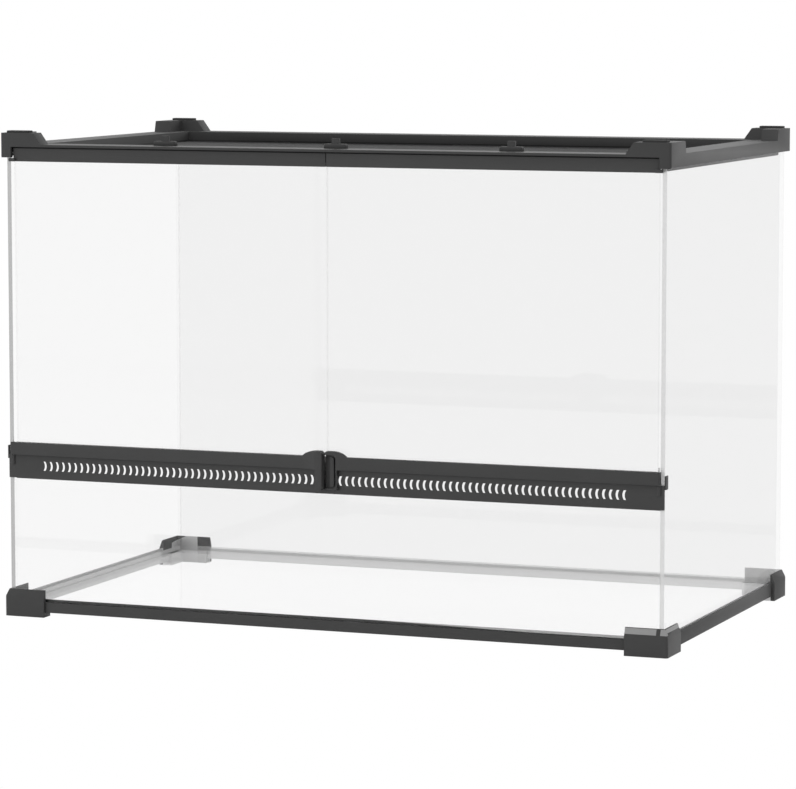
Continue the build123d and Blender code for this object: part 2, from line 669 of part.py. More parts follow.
with BuildPart() as vent_bar:
    # front plate across both side panes
    block(-VENT_END, VENT_END, BAR_FRONT, -HALF_D, VENT_BOTTOM, VENT_TOP)
    # channel over the top edge of the lower pane
    block(-BAR_IN, BAR_IN, -HALF_D, BAR_BACK, VENT_CHANNEL_TOP - VENT_WEB, VENT_CHANNEL_TOP)
    block(-BAR_IN, BAR_IN, -INNER_D + GLASS_GAP, BAR_BACK, VENT_FLANGE_BOTTOM, VENT_CHANNEL_TOP)
    # rib under the doors
    block(-BAR_IN, BAR_IN, -HALF_D, -INNER_D + VENT_RIB_BACK, VENT_RIB_BOTTOM, VENT_TOP)
    # the plate is thinner behind the slots
    slot_end = SLOT_FIRST + SLOT_COUNT * SLOT_PITCH
    block(
        -slot_end,
        slot_end,
        -HALF_D - VENT_THIN,
        -HALF_D,
        VENT_CHANNEL_TOP,
        VENT_RIB_BOTTOM,
        mode=Mode.SUBTRACT,
    )
    vent_slots(-1)
    vent_slots(1)
    for side, sx in SIDES.items():
        # boss for the lower hinge pin, and the clip round the edge of the side pane
        clip_out = sx * (HALF_W + CLIP_THICK)
        clip_front = BAR_FRONT + CLIP_BACK
        post(sx * PIVOT_X, PIVOT_Y, BARREL_RADIUS, VENT_TOP - LOW_PIN_DEPTH - BOSS_FLOOR, VENT_TOP)
        block(sx * HALF_W, clip_out, clip_front, -HALF_D + CLIP_REACH, CLIP_BOTTOM, CLIP_TOP)
        block(sx * (VENT_END - CLIP_LAP), clip_out, clip_front, -HALF_D, CLIP_BOTTOM, VENT_TOP)
        post(sx * PIVOT_X, PIVOT_Y, PIN_RADIUS, VENT_TOP - LOW_PIN_DEPTH, VENT_TOP, mode=Mode.SUBTRACT)
        # recess for the strike plate
        block(
            MAGNET_X[side] - STRIKE_LENGTH / 2,
            MAGNET_X[side] + STRIKE_LENGTH / 2,
            BAR_FRONT,
            BAR_FRONT + STRIKE_THICK,
            MAGNET_Z - STRIKE_HEIGHT / 2,
            MAGNET_Z + STRIKE_HEIGHT / 2,
            mode=Mode.SUBTRACT,
        )
save(vent_bar.part, "vent_bar")

for side in SIDES:
    with BuildPart() as strike:
        block(
            MAGNET_X[side] - STRIKE_LENGTH / 2,
            MAGNET_X[side] + STRIKE_LENGTH / 2,
            BAR_FRONT,
            BAR_FRONT + STRIKE_THICK,
            MAGNET_Z - STRIKE_HEIGHT / 2,
            MAGNET_Z + STRIKE_HEIGHT / 2,
        )
    save(strike.part, side + "_strike_plate")

# ---------------------------------------------------------------- doors

GLASS_FRONT = -HALF_D
TAB_REAR = GLASS_FRONT - TAB_BACK


def hump_profile(sx):
    """Give the front outline of a handle hump, from its foot on the trim to the middle."""
    return [
        (sx * HANDLE_GAP, TRIM_BOTTOM),
        (sx * HUMP_FOOT, TRIM_BOTTOM),
        (sx * HUMP_FOOT, TRIM_TOP),
        (sx * (HUMP_FOOT + HUMP_SHOULDER) / 2, TRIM_TOP + HUMP_MID_SHARE * HUMP_HEIGHT),
        (sx * HUMP_SHOULDER, HUMP_TOP - HUMP_SHOULDER_DROP),
        (sx * (HUMP_SHOULDER - HUMP_SHOULDER_RUN), HUMP_TOP),
        (sx * HUMP_NOTCH_RUN, HUMP_TOP),
        (sx * HANDLE_GAP, HUMP_TOP - HUMP_NOTCH_DROP),
    ]


def handle_plan(sx, flat, proud):
    """Extrude the handle's plan: flat near the middle, then sloping back to the trim."""
    with BuildSketch(Plane.XY.offset(TRIM_BOTTOM)) as plan:
        with BuildLine():
            Polyline(
                (sx * HANDLE_GAP, GLASS_FRONT - TRIM_OUTER_BACK),
                (sx * HANDLE_GAP, GLASS_FRONT - proud),
                (sx * flat, GLASS_FRONT - proud),
                (sx * (HUMP_FOOT - HUMP_FOOT_RUN), GLASS_FRONT - TRIM_PROUD),
                (sx * HUMP_FOOT, GLASS_FRONT - TRIM_PROUD),
                (sx * HUMP_FOOT, GLASS_FRONT - TRIM_OUTER_BACK),
                close=True,
            )
        make_face()
    extrude(plan.sketch, amount=HUMP_TOP - TRIM_BOTTOM)


for side, sx in SIDES.items():
    door_start = sx * DOOR_GAP / 2
    door_end = sx * DOOR_END
    with BuildPart() as door_glass:
        block(door_start, door_end, GLASS_FRONT, -INNER_D, DOOR_GLASS_BOTTOM, DOOR_GLASS_TOP)
    save(door_glass.part, side + "_door_glass")

    with BuildPart() as top_trim:
        trim_front = GLASS_FRONT - TRIM_FRONT
        block(door_start, door_end, trim_front, -INNER_D + TRIM_BACK, TOP_TRIM_BOTTOM, TOP_TRIM_TOP)
        # the ear under the corner leg turns on the top hinge pin
        ear_top = TOP_TRIM_BOTTOM + TOP_EAR
        ear_front = PIVOT_Y - BARREL_RADIUS
        ear_back = GLASS_FRONT - GLASS_GAP
        block(sx * (DOOR_END - TOP_EAR_LAP), sx * PIVOT_X, ear_front, ear_back, TOP_TRIM_BOTTOM, ear_top)
        post(sx * PIVOT_X, PIVOT_Y, BARREL_RADIUS, TOP_TRIM_BOTTOM, ear_top)
        post(sx * PIVOT_X, PIVOT_Y, PIN_HOLE, TOP_TRIM_BOTTOM, ear_top, mode=Mode.SUBTRACT)
        block(
            door_start,
            door_end,
            GLASS_FRONT,
            -INNER_D,
            TOP_TRIM_BOTTOM,
            DOOR_GLASS_TOP,
            mode=Mode.SUBTRACT,
        )
    save(top_trim.part, side + "_door_top_trim")

    with BuildPart() as bottom_trim:
        outer_back = GLASS_FRONT - TRIM_OUTER_BACK
        outer_front = GLASS_FRONT - TRIM_PROUD
        # handle first: its plan and its front outline together
        if side == "left":
            handle_plan(sx, PULL_WIDTH, HANDLE_PROUD)
        else:
            handle_plan(sx, HANDLE_GAP + POCKET_WIDTH, POCKET_PROUD)
        prism_y(hump_profile(sx), GLASS_FRONT - 2 * HANDLE_PROUD, GLASS_FRONT, mode=Mode.INTERSECT)
        # outer bar, rounded where it turns in front of the side pane
        with BuildPart(mode=Mode.PRIVATE) as bar:
            block(sx * HANDLE_GAP, sx * TRIM_END, outer_front, outer_back, TRIM_BOTTOM, TRIM_TOP)
            tip = bar.edges().filter_by(Axis.Z).sort_by_distance((sx * TRIM_END, outer_front, TRIM_TOP))
            fillet(tip[0], radius=TRIM_END_ROUND)
        add(bar.part)
        # channel that grips the lower edge of the glass
        block(sx * HANDLE_GAP, door_end, outer_back, GLASS_FRONT, TRIM_BOTTOM, TRIM_TOP)
        block(sx * HANDLE_GAP, door_end, GLASS_FRONT, -INNER_D, TRIM_BOTTOM, DOOR_GLASS_BOTTOM)
        block(sx * HANDLE_GAP, door_end, -INNER_D, -INNER_D + TRIM_BACK, TRIM_BOTTOM, TRIM_BACK_TOP)
        post(sx * PIVOT_X, PIVOT_Y, BARREL_RADIUS, TRIM_BOTTOM, TRIM_TOP)
        post(sx * PIVOT_X, PIVOT_Y, PIN_HOLE, TRIM_BOTTOM, TRIM_TOP, mode=Mode.SUBTRACT)
        if side == "left":
            # the pull tab is as proud as the middle of the handle
            block(
                sx * HANDLE_GAP,
                sx * (HANDLE_GAP + PULL_WIDTH),
                GLASS_FRONT - HANDLE_PROUD,
                TAB_REAR,
                TAB_BOTTOM,
                TRIM_BOTTOM,
            )
        else:
            # the finger pocket runs down from the handle onto a thinner tab
            pocket_floor = GLASS_FRONT - POCKET_FLOOR
            block(sx * HANDLE_GAP, sx * POCKET_TAB, pocket_floor, TAB_REAR, TAB_BOTTOM, TRIM_BOTTOM)
            with BuildSketch(Plane.XZ.offset(-pocket_floor)) as pocket:
                with BuildLine():
                    top = POCKET_TOP
                    right = HANDLE_GAP + POCKET_WIDTH
                    edge = Line((0, TRIM_BOTTOM - OVERCUT), (right, TRIM_BOTTOM - OVERCUT))
                    rise = Line(edge @ 1, (right, top - POCKET_ROUND))
                    bend = RadiusArc(rise @ 1, (right - POCKET_ROUND, top), -POCKET_ROUND)
                    over = Line(bend @ 1, (0, top))
                    Line(over @ 1, edge @ 0)
                make_face()
            extrude(amount=HANDLE_PROUD, mode=Mode.SUBTRACT)
            # deep slot beside the other door's pull
            pad_low = TAB_BOTTOM + PAD_LINE_RAISE
            pad_high = POCKET_TOP - PAD_LINE_DROP
            block(
                0,
                HANDLE_GAP + POCKET_DEEP_WIDTH,
                pocket_floor,
                GLASS_FRONT - POCKET_DEEP,
                pad_low,
                POCKET_TOP - POCKET_DEEP_DROP,
                mode=Mode.SUBTRACT,
            )
            # groove round the finger pad, on the right half of a rounded frame
            pad_height = pad_high - pad_low
            with BuildSketch(Plane.XZ.offset(-pocket_floor - PAD_LINE_DEPTH)):
                with Locations((0, (pad_low + pad_high) / 2)):
                    RectangleRounded(2 * PAD_LINE_OUT, pad_height, PAD_LINE_ROUND)
                    RectangleRounded(
                        2 * (PAD_LINE_OUT - PAD_LINE_WIDTH),
                        pad_height - 2 * PAD_LINE_WIDTH,
                        PAD_LINE_ROUND - PAD_LINE_WIDTH,
                        mode=Mode.SUBTRACT,
                    )
                    with Locations((HANDLE_GAP - PAD_LINE_OUT, 0)):
                        Rectangle(2 * PAD_LINE_OUT, 2 * pad_height, mode=Mode.SUBTRACT)
            extrude(amount=PAD_LINE_DEPTH, mode=Mode.SUBTRACT)
        # seat of the magnet in the back of the tab
        with BuildSketch(Plane.XZ.offset(-TAB_REAR)):
            with Locations((MAGNET_X[side], MAGNET_Z)):
                Circle(MAGNET_RADIUS)
        extrude(amount=MAGNET_LENGTH, mode=Mode.SUBTRACT)
    save(bottom_trim.part, side + "_door_bottom_trim")

    with BuildPart() as magnet:
        with BuildSketch(Plane.XZ.offset(-TAB_REAR)):
            with Locations((MAGNET_X[side], MAGNET_Z)):
                Circle(MAGNET_RADIUS)
        extrude(amount=MAGNET_LENGTH)
    save(magnet.part, side + "_door_magnet")

    with BuildPart() as top_pin:
        post(sx * PIVOT_X, PIVOT_Y, PIN_RADIUS, TOP_TRIM_BOTTOM, LEG_BOTTOM + TOP_PIN_REACH)
    save(top_pin.part, side + "_top_hinge_pin")

    with BuildPart() as low_pin:
        post(sx * PIVOT_X, PIVOT_Y, PIN_RADIUS, VENT_TOP - LOW_PIN_DEPTH, LOW_PIN_TOP)
    save(low_pin.part, side + "_bottom_hinge_pin")
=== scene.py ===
"""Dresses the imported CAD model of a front-opening glass terrarium for its studio picture."""

from __future__ import annotations

import json
import logging
import math
from dataclasses import dataclass, field
from enum import Enum
from typing import Any, Callable

import bpy
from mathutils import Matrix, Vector

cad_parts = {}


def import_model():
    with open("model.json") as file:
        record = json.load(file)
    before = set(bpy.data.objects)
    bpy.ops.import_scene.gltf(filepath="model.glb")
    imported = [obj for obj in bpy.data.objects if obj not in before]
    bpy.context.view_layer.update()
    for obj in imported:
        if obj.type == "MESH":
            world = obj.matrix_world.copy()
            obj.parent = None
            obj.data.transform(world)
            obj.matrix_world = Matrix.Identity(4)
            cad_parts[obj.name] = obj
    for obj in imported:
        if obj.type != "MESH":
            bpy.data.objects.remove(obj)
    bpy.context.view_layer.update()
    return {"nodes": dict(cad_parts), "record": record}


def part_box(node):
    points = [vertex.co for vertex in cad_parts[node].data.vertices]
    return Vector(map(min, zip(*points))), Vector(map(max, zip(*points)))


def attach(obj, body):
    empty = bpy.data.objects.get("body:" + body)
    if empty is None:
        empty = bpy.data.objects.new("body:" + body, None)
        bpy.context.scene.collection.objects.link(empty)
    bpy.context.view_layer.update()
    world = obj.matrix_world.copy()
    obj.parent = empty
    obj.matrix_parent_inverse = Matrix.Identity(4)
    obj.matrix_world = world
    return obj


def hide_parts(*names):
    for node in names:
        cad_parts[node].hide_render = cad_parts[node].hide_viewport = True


LOG = logging.getLogger("terrarium")
MM = 0.001
REFRACTION = 1.5
WHITE = (1.0, 1.0, 1.0, 1.0)
SIDES = ("left", "right")
ENDS = ("front", "back")


class Slot(Enum):
    """The record's material slots, listed for the dressed pieces."""

    GLASS = "clear_glass"
    PLASTIC = "black_plastic"
    WIRE = "screen_wire"


class ThinAxis(Enum):
    """The axis that a pane is thin along."""

    X = 0
    Y = 1
    Z = 2


# ---------------------------------------------------------------- shader maths


def grey(level: float) -> tuple[float, float, float, float]:
    """Write a grey level as an opaque colour."""
    return (level, level, level, 1.0)


class Signal:
    """A number socket of a material, which adds Math nodes when it is used in an expression."""

    def __init__(self, board: "ShaderBoard", socket: bpy.types.NodeSocket) -> None:
        """Wrap one output socket.

        Args:
            board: The material's node tree, which adds the nodes.
            socket: The output socket that holds the number.
        """
        self.board = board
        self.socket = socket

    def _math(self, operation: str, first: Any, second: Any = None) -> "Signal":
        """Add one Math node.

        Args:
            operation: The node's operation.
            first: Its first value or signal.
            second: Its second value or signal, if it has one.

        Returns:
            The signal that comes out of the node.
        """
        inputs = {0: first} if second is None else {0: first, 1: second}
        return self.board.add("ShaderNodeMath", {"operation": operation}, inputs)

    def __add__(self, other: Any) -> "Signal":
        """Add a value or signal."""
        return self._math("ADD", self, other)

    def __sub__(self, other: Any) -> "Signal":
        """Subtract a value or signal."""
        return self._math("SUBTRACT", self, other)

    def __rsub__(self, other: Any) -> "Signal":
        """Subtract this signal from a value."""
        return self._math("SUBTRACT", other, self)

    def __mul__(self, other: Any) -> "Signal":
        """Multiply by a value or signal."""
        return self._math("MULTIPLY", self, other)

    def raised(self, power: float) -> "Signal":
        """Raise the signal to a power."""
        return self._math("POWER", self, power)

    def clamped(self) -> "Signal":
        """Hold the signal between 0 and 1."""
        return self._math("MAXIMUM", self._math("MINIMUM", self, 1.0), 0.0)

    def over(self, limit: Any) -> "Signal":
        """Give 1 where the signal is greater than a value or signal, and 0 elsewhere."""
        return self._math("GREATER_THAN", self, limit)

    def under(self, limit: Any) -> "Signal":
        """Give 1 where the signal is less than a value or signal, and 0 elsewhere."""
        return self._math("LESS_THAN", self, limit)


class ShaderBoard:
    """A material's node tree, with one method that adds every kind of node."""

    def __init__(self, name: str) -> None:
        """Start an empty material.

        Args:
            name: The material's name.
        """
        self.material = bpy.data.materials.new(name)
        self.material.use_nodes = True
        self.tree = self.material.node_tree
        self.tree.nodes.clear()
        self.output = self.tree.nodes.new("ShaderNodeOutputMaterial")

    def add(
        self,
        kind: str,
        settings: dict[str, Any] | None = None,
        inputs: dict[Any, Any] | None = None,
        output: Any = 0,
    ) -> Signal:
        """Add a node, set it up and feed its sockets.

        Args:
            kind: The node's type.
            settings: The node's own settings, which are set first.
            inputs: Values, signals or sockets by the input's name or number.
            output: The name or number of the output that is handed back.

        Returns:
            The chosen output as a signal.
        """
        node = self.tree.nodes.new(kind)
        for name, value in (settings or {}).items():
            setattr(node, name, value)
        for key, value in (inputs or {}).items():
            self.feed(node.inputs[key], value)
        return Signal(self, node.outputs[output])

    def feed(self, socket: bpy.types.NodeSocket, value: Any) -> None:
        """Link a signal into an input socket, or set its value.

        Args:
            socket: The input socket.
            value: A signal, or a plain value.
        """
        if isinstance(value, Signal):
            self.tree.links.new(value.socket, socket)
        else:
            socket.default_value = value

    def place(self) -> Signal:
        """Give the point on the surface in object coordinates."""
        return self.add("ShaderNodeTexCoord", output="Object")

    def along(self, axis: str) -> Signal:
        """Give one object coordinate of the point, in metres."""
        return self.add("ShaderNodeSeparateXYZ", inputs={0: self.place()}, output=axis)

    def noise(self, scale: float, detail: float = 2.0) -> Signal:
        """Add a noise pattern on object coordinates.

        Args:
            scale: Waves in a metre.
            detail: Number of finer layers.

        Returns:
            The pattern's level, from 0 to 1.
        """
        inputs = {"Vector": self.place(), "Scale": scale, "Detail": detail}
        return self.add("ShaderNodeTexNoise", inputs=inputs, output=0)

    def bump(self, height: Signal, depth: float, strength: float) -> Signal:
        """Turn a height pattern into a normal.

        Args:
            height: The pattern.
            depth: Height of its full range in metres.
            strength: Share of the effect that is kept.

        Returns:
            The bent normal.
        """
        inputs = {"Height": height, "Distance": depth, "Strength": strength}
        return self.add("ShaderNodeBump", inputs=inputs, output="Normal")

    def grey_mix(self, share: Signal, dark: float, light: float) -> Signal:
        """Mix two greys as colours.

        Args:
            share: How much of the light grey shows.
            dark: Grey level at 0.
            light: Grey level at 1.

        Returns:
            The mixed colour.
        """
        settings = {"data_type": "RGBA"}
        inputs = {0: share, 6: grey(dark), 7: grey(light)}
        return self.add("ShaderNodeMix", settings, inputs, output=2)

    def colour_mix(self, share: Signal, colour: Signal, level: float) -> Signal:
        """Lay a grey over a colour.

        Args:
            share: How much of the grey shows.
            colour: The colour below it.
            level: The grey's level.

        Returns:
            The mixed colour.
        """
        inputs = {0: share, 6: colour, 7: grey(level)}
        return self.add("ShaderNodeMix", {"data_type": "RGBA"}, inputs, output=2)

    def around(self, middle: float, spread: float, pattern: Signal) -> Signal:
        """Let a pattern vary a value evenly to both sides.

        Args:
            middle: The value at the pattern's middle.
            spread: The whole range.
            pattern: The pattern, from 0 to 1.

        Returns:
            The varied value.
        """
        return pattern * spread + (middle - spread / 2)

    def mixed(self, share: Signal, first: Signal, second: Signal) -> Signal:
        """Mix two shaders.

        Args:
            share: How much of the second shows.
            first: The shader at 0.
            second: The shader at 1.

        Returns:
            The mixed shader.
        """
        return self.add("ShaderNodeMixShader", inputs={0: share, 1: first, 2: second})

    def finish(self, surface: Signal) -> bpy.types.Material:
        """Link the surface to the output.

        Args:
            surface: The shader that the material shows.

        Returns:
            The finished material.
        """
        self.tree.links.new(surface.socket, self.output.inputs["Surface"])
        return self.material


# ---------------------------------------------------------------- finishes


Region = Callable[[ShaderBoard], Signal]


@dataclass(frozen=True)
class MouldedPlastic:
    """Black ABS with the fine even texture of a sparked mould, bare or with painted light or
    painted shade over it.
    """

    name: str = "moulded_plastic"
    painted_lighting_region: Region | None = None
    painted_lighting_grey: float = 0.2
    dark: float = 0.066
    light: float = 0.076
    sheen_level: float = 0.12
    roughness: float = 0.46
    roughness_spread: float = 0.08
    grain_scale: float = 2600.0
    grain_detail: float = 1.0
    grain_depth: float = 0.03 * MM
    grain_strength: float = 0.35
    cloud_scale: float = 38.0
    cloud_detail: float = 3.0

    def build(self) -> bpy.types.Material:
        """Make the material."""
        board = ShaderBoard(self.name)
        clouds = board.noise(self.cloud_scale, self.cloud_detail)
        grain = board.noise(self.grain_scale, self.grain_detail)
        colour = board.grey_mix(clouds, self.dark, self.light)
        # Lay the painted light or painted shade over the plastic's own colour.
        if self.painted_lighting_region:
            colour = board.colour_mix(self.painted_lighting_region(board), colour, self.painted_lighting_grey)
        inputs = {
            "Base Color": colour,
            "Roughness": board.around(self.roughness, self.roughness_spread, clouds),
            "IOR": REFRACTION,
            "Specular IOR Level": self.sheen_level,
            "Normal": board.bump(grain, self.grain_depth, self.grain_strength),
        }
        return board.finish(board.add("ShaderNodeBsdfPrincipled", inputs=inputs))


@dataclass(frozen=True)
class PadRubber:
    """Dull black rubber of the stacking pads."""

    name: str = "pad_rubber"
    dark: float = 0.028
    light: float = 0.038
    roughness: float = 0.72
    roughness_spread: float = 0.1
    grain_scale: float = 1500.0
    grain_detail: float = 3.0
    grain_depth: float = 0.05 * MM
    grain_strength: float = 0.5

    def build(self) -> bpy.types.Material:
        """Make the material."""
        board = ShaderBoard(self.name)
        grain = board.noise(self.grain_scale, self.grain_detail)
        inputs = {
            "Base Color": board.grey_mix(grain, self.dark, self.light),
            "Roughness": board.around(self.roughness, self.roughness_spread, grain),
            "Normal": board.bump(grain, self.grain_depth, self.grain_strength),
        }
        return board.finish(board.add("ShaderNodeBsdfPrincipled", inputs=inputs))


@dataclass(frozen=True)
class BrightMetal:
    """Plain steel or nickel plate with fine drawn lines."""

    name: str
    level: float
    roughness: float
    roughness_spread: float = 0.12
    line_scale: float = 900.0
    line_tone: float = 0.92

    def build(self) -> bpy.types.Material:
        """Make the material."""
        board = ShaderBoard(self.name)
        lines = board.noise(self.line_scale)
        inputs = {
            "Base Color": board.grey_mix(lines, self.level * self.line_tone, self.level),
            "Metallic": 1.0,
            "Roughness": board.around(self.roughness, self.roughness_spread, lines),
        }
        return board.finish(board.add("ShaderNodeBsdfPrincipled", inputs=inputs))


@dataclass(frozen=True)
class CoatedWire:
    """Black powder coat on the screen's woven wire."""

    name: str = "coated_wire"
    dark: float = 0.022
    light: float = 0.034
    roughness: float = 0.55
    roughness_spread: float = 0.1
    mottle_scale: float = 420.0

    def build(self) -> bpy.types.Material:
        """Make the material."""
        board = ShaderBoard(self.name)
        mottle = board.noise(self.mottle_scale)
        inputs = {
            "Base Color": board.grey_mix(mottle, self.dark, self.light),
            "Roughness": board.around(self.roughness, self.roughness_spread, mottle),
        }
        return board.finish(board.add("ShaderNodeBsdfPrincipled", inputs=inputs))


@dataclass(frozen=True)
class ClearPane:
    """The large faces of float glass: see-through, with a mirror share that grows at a glance."""

    name: str
    pass_grey: float
    glance_share: float = 0.96
    glance_power: float = 5.0
    glance_blend: float = 0.5
    head_on: float = 0.022

    def build(self) -> bpy.types.Material:
        """Make the material."""
        board = ShaderBoard(self.name)
        tint = {"Color": grey(self.pass_grey)}
        clear = board.add("ShaderNodeBsdfTransparent", inputs=tint)
        shine = {"Color": WHITE, "Roughness": 0.0}
        mirror = board.add("ShaderNodeBsdfGlossy", inputs=shine)
        blend = {"Blend": self.glance_blend}
        glance = board.add("ShaderNodeLayerWeight", inputs=blend, output="Facing")
        share = glance.raised(self.glance_power) * self.glance_share + self.head_on
        return board.finish(board.mixed(share, clear, mirror))


@dataclass(frozen=True)
class GroundEdge:
    """The narrow ground edge of a pane, which gathers light from inside the glass."""

    name: str
    level: float
    pass_grey: float = 0.86
    body_share: float = 0.72
    body_spread: float = 0.1
    frost_scale: float = 700.0
    frost_tone: float = 0.05
    roughness: float = 0.25
    painted_reflection_region: Region | None = None
    painted_reflection_grey: float = 0.055

    def build(self) -> bpy.types.Material:
        """Make the material."""
        board = ShaderBoard(self.name)
        frost = board.noise(self.frost_scale)
        dull = self.level * (1.0 - self.frost_tone)
        bright = self.level * (1.0 + self.frost_tone)
        colour = board.grey_mix(frost, dull, bright)
        share = board.around(self.body_share, self.body_spread, frost).clamped()
        # Painted reflection: a stretch of the edge is painted dark grey and made opaque where it
        # mirrors the black rail.
        if self.painted_reflection_region:
            dark = self.painted_reflection_region(board)
            colour = board.colour_mix(dark, colour, self.painted_reflection_grey)
            share = (share + dark).clamped()
        tint = {"Color": grey(self.pass_grey)}
        clear = board.add("ShaderNodeBsdfTransparent", inputs=tint)
        inputs = {"Base Color": colour, "Roughness": self.roughness, "IOR": REFRACTION}
        ground = board.add("ShaderNodeBsdfPrincipled", inputs=inputs)
        return board.finish(board.mixed(share, clear, ground))


# ---------------------------------------------------------------- regions of a surface


@dataclass(frozen=True)
class GlassBox:
    """The faces of the glass that the painted light and the painted reflection are measured from,
    in metres.
    """

    half_width: float
    half_depth: float
    floor_bottom: float
    floor_top: float

    @classmethod
    def of_frame(cls) -> "GlassBox":
        """Read the faces from the CAD model."""
        bottom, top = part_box("floor_glass")
        return cls(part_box("right_glass")[1].x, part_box("back_glass")[1].y, bottom.z, top.z)


@dataclass(frozen=True)
class FrontFootPaintedHighlight:
    """Painted highlight: a grey band on the leaning lip of the front right foot, where the lip
    catches the light, with a gap near its corner, where the rounded corner turns away from the
    light.
    """

    front_wall: float = 0.4 * MM
    depth: float = 4.4 * MM
    bare_top: float = 0.3 * MM
    side_rise: float = 1.5 * MM
    gap_start: float = 5.0 * MM
    gap_end: float = 2.0 * MM

    def __call__(self, board: ShaderBoard) -> Signal:
        """Give 1 where the painted highlight lies and 0 elsewhere."""
        glass = GlassBox.of_frame()
        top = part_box("foot_front_right")[1].z
        height = board.along("Z")
        across = board.along("X")
        beside = board.along("Y").over(self.front_wall - glass.half_depth)
        lowest = beside * self.side_rise + (top - self.depth)
        band = height.over(lowest) * height.under(top - self.bare_top)
        after_start = across.over(glass.half_width - self.gap_start)
        before_end = across.under(glass.half_width - self.gap_end)
        return band * (1.0 - after_start * before_end)


@dataclass(frozen=True)
class BackFootPaintedLight:
    """Painted light: a pale grey band on the back right foot next to the glass, behind it and
    below the floor pane.
    """

    back_wall: float = 0.4 * MM
    side_reach: float = 0.6 * MM
    back_reach: float = 0.5 * MM
    floor_gap: float = 0.05 * MM

    def __call__(self, board: ShaderBoard) -> Signal:
        """Give 1 where the painted light lies and 0 elsewhere."""
        glass = GlassBox.of_frame()
        behind = board.along("Y").under(glass.half_depth + self.back_reach)
        below_floor = board.along("Z").under(glass.floor_bottom - self.floor_gap)
        inside = self.inside_wall(board, glass) * behind
        return inside * (self.beside_glass(board, glass) + below_floor).clamped()

    def inside_wall(self, board: ShaderBoard, glass: GlassBox) -> Signal:
        """Give 1 on the glass's side of the foot's side wall."""
        return board.along("X").under(glass.half_width + self.side_reach)

    def beside_glass(self, board: ShaderBoard, glass: GlassBox) -> Signal:
        """Give 1 on the wall behind the glass."""
        return board.along("Y").over(glass.half_depth - self.back_wall)


@dataclass(frozen=True)
class BackLeftFootPaintedLight(BackFootPaintedLight):
    """Painted light: a pale grey band on the back left foot, whose upper edge runs aslant on both
    walls.
    """

    back_length: float = 17.1 * MM
    back_height: float = 16.8 * MM
    back_slant: float = 0.43
    side_length: float = 11.4 * MM
    side_height: float = 15.5 * MM
    side_slant: float = 0.11

    def inside_wall(self, board: ShaderBoard, glass: GlassBox) -> Signal:
        """Give 1 on the glass's side of the foot's side wall."""
        return board.along("X").over(-glass.half_width - self.side_reach)

    def beside_glass(self, board: ShaderBoard, glass: GlassBox) -> Signal:
        """Give 1 below the slanting edge, on the wall behind the glass and on the side wall."""
        height = board.along("Z")
        across = board.along("X")
        depth = board.along("Y")
        back_top = (across + glass.half_width) * self.back_slant + self.back_height
        on_back = across.under(self.back_length - glass.half_width) * height.under(back_top)
        start = glass.half_depth - self.side_length
        side_top = (depth - start) * self.side_slant + self.side_height
        on_side = depth.over(start) * height.under(side_top)
        near_back = depth.over(glass.half_depth - self.back_wall)
        return on_back * near_back + on_side * (1.0 - near_back)


@dataclass(frozen=True)
class LeftRailPaintedLight:
    """Painted light: a pale grey band on the left rail's lip, next to the glass."""

    reach: float = 0.7 * MM

    def __call__(self, board: ShaderBoard) -> Signal:
        """Give 1 where the painted light lies and 0 elsewhere."""
        return board.along("X").over(-GlassBox.of_frame().half_width - self.reach)


@dataclass(frozen=True)
class BackRailPaintedLight:
    """Painted light: a pale grey band on the back rail next to the floor pane, below the rail's
    dark rim.
    """

    reach: float = 0.6 * MM
    height: float = 14.0 * MM
    fall: float = 0.9 * MM
    fall_start: float = -100.0 * MM
    fall_length: float = 250.0 * MM

    def __call__(self, board: ShaderBoard) -> Signal:
        """Give 1 where the painted light lies and 0 elsewhere."""
        run = (board.along("X") - self.fall_start) * (1.0 / self.fall_length)
        top = self.height - run.clamped() * self.fall
        inside = board.along("Y").under(GlassBox.of_frame().half_depth + self.reach)
        return inside * board.along("Z").under(top)


@dataclass(frozen=True)
class ScreenSeamShade:
    """Painted shade at the foot of the rim's inner wall, in the seam round the screen."""

    below: float = 1.0 * MM
    above: float = 1.2 * MM
    faint: float = 0.28
    reach: float = 0.9 * MM

    def __call__(self, board: ShaderBoard) -> Signal:
        """Give the painted shade's share: 1 in the seam, faint above it and 0 elsewhere."""
        low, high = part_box("screen_frame")
        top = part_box("screen_mesh")[1].z
        height = board.along("Z")
        deep = height.under(top + self.above) * (1.0 - self.faint)
        shade = height.over(top - self.below) * (deep + self.faint)
        for axis, lowest, highest in (("X", low.x, high.x), ("Y", low.y, high.y)):
            place = board.along(axis)
            shade = shade * place.over(lowest - self.reach)
            shade = shade * place.under(highest + self.reach)
        return shade


@dataclass(frozen=True)
class FloorEdgePaintedReflection:
    """Painted reflection: the stretch of the floor pane's front edge that mirrors the black rail,
    painted dark.
    """

    fall: float = 1.9 * MM
    fall_start: float = 20.0 * MM
    fall_length: float = 130.0 * MM

    def __call__(self, board: ShaderBoard) -> Signal:
        """Give 1 on the dark stretch and 0 elsewhere."""
        run = (board.along("X") - self.fall_start) * (1.0 / self.fall_length)
        top = GlassBox.of_frame().floor_top - run.clamped() * self.fall
        return board.along("Z").under(top)


# ---------------------------------------------------------------- modelling by hand


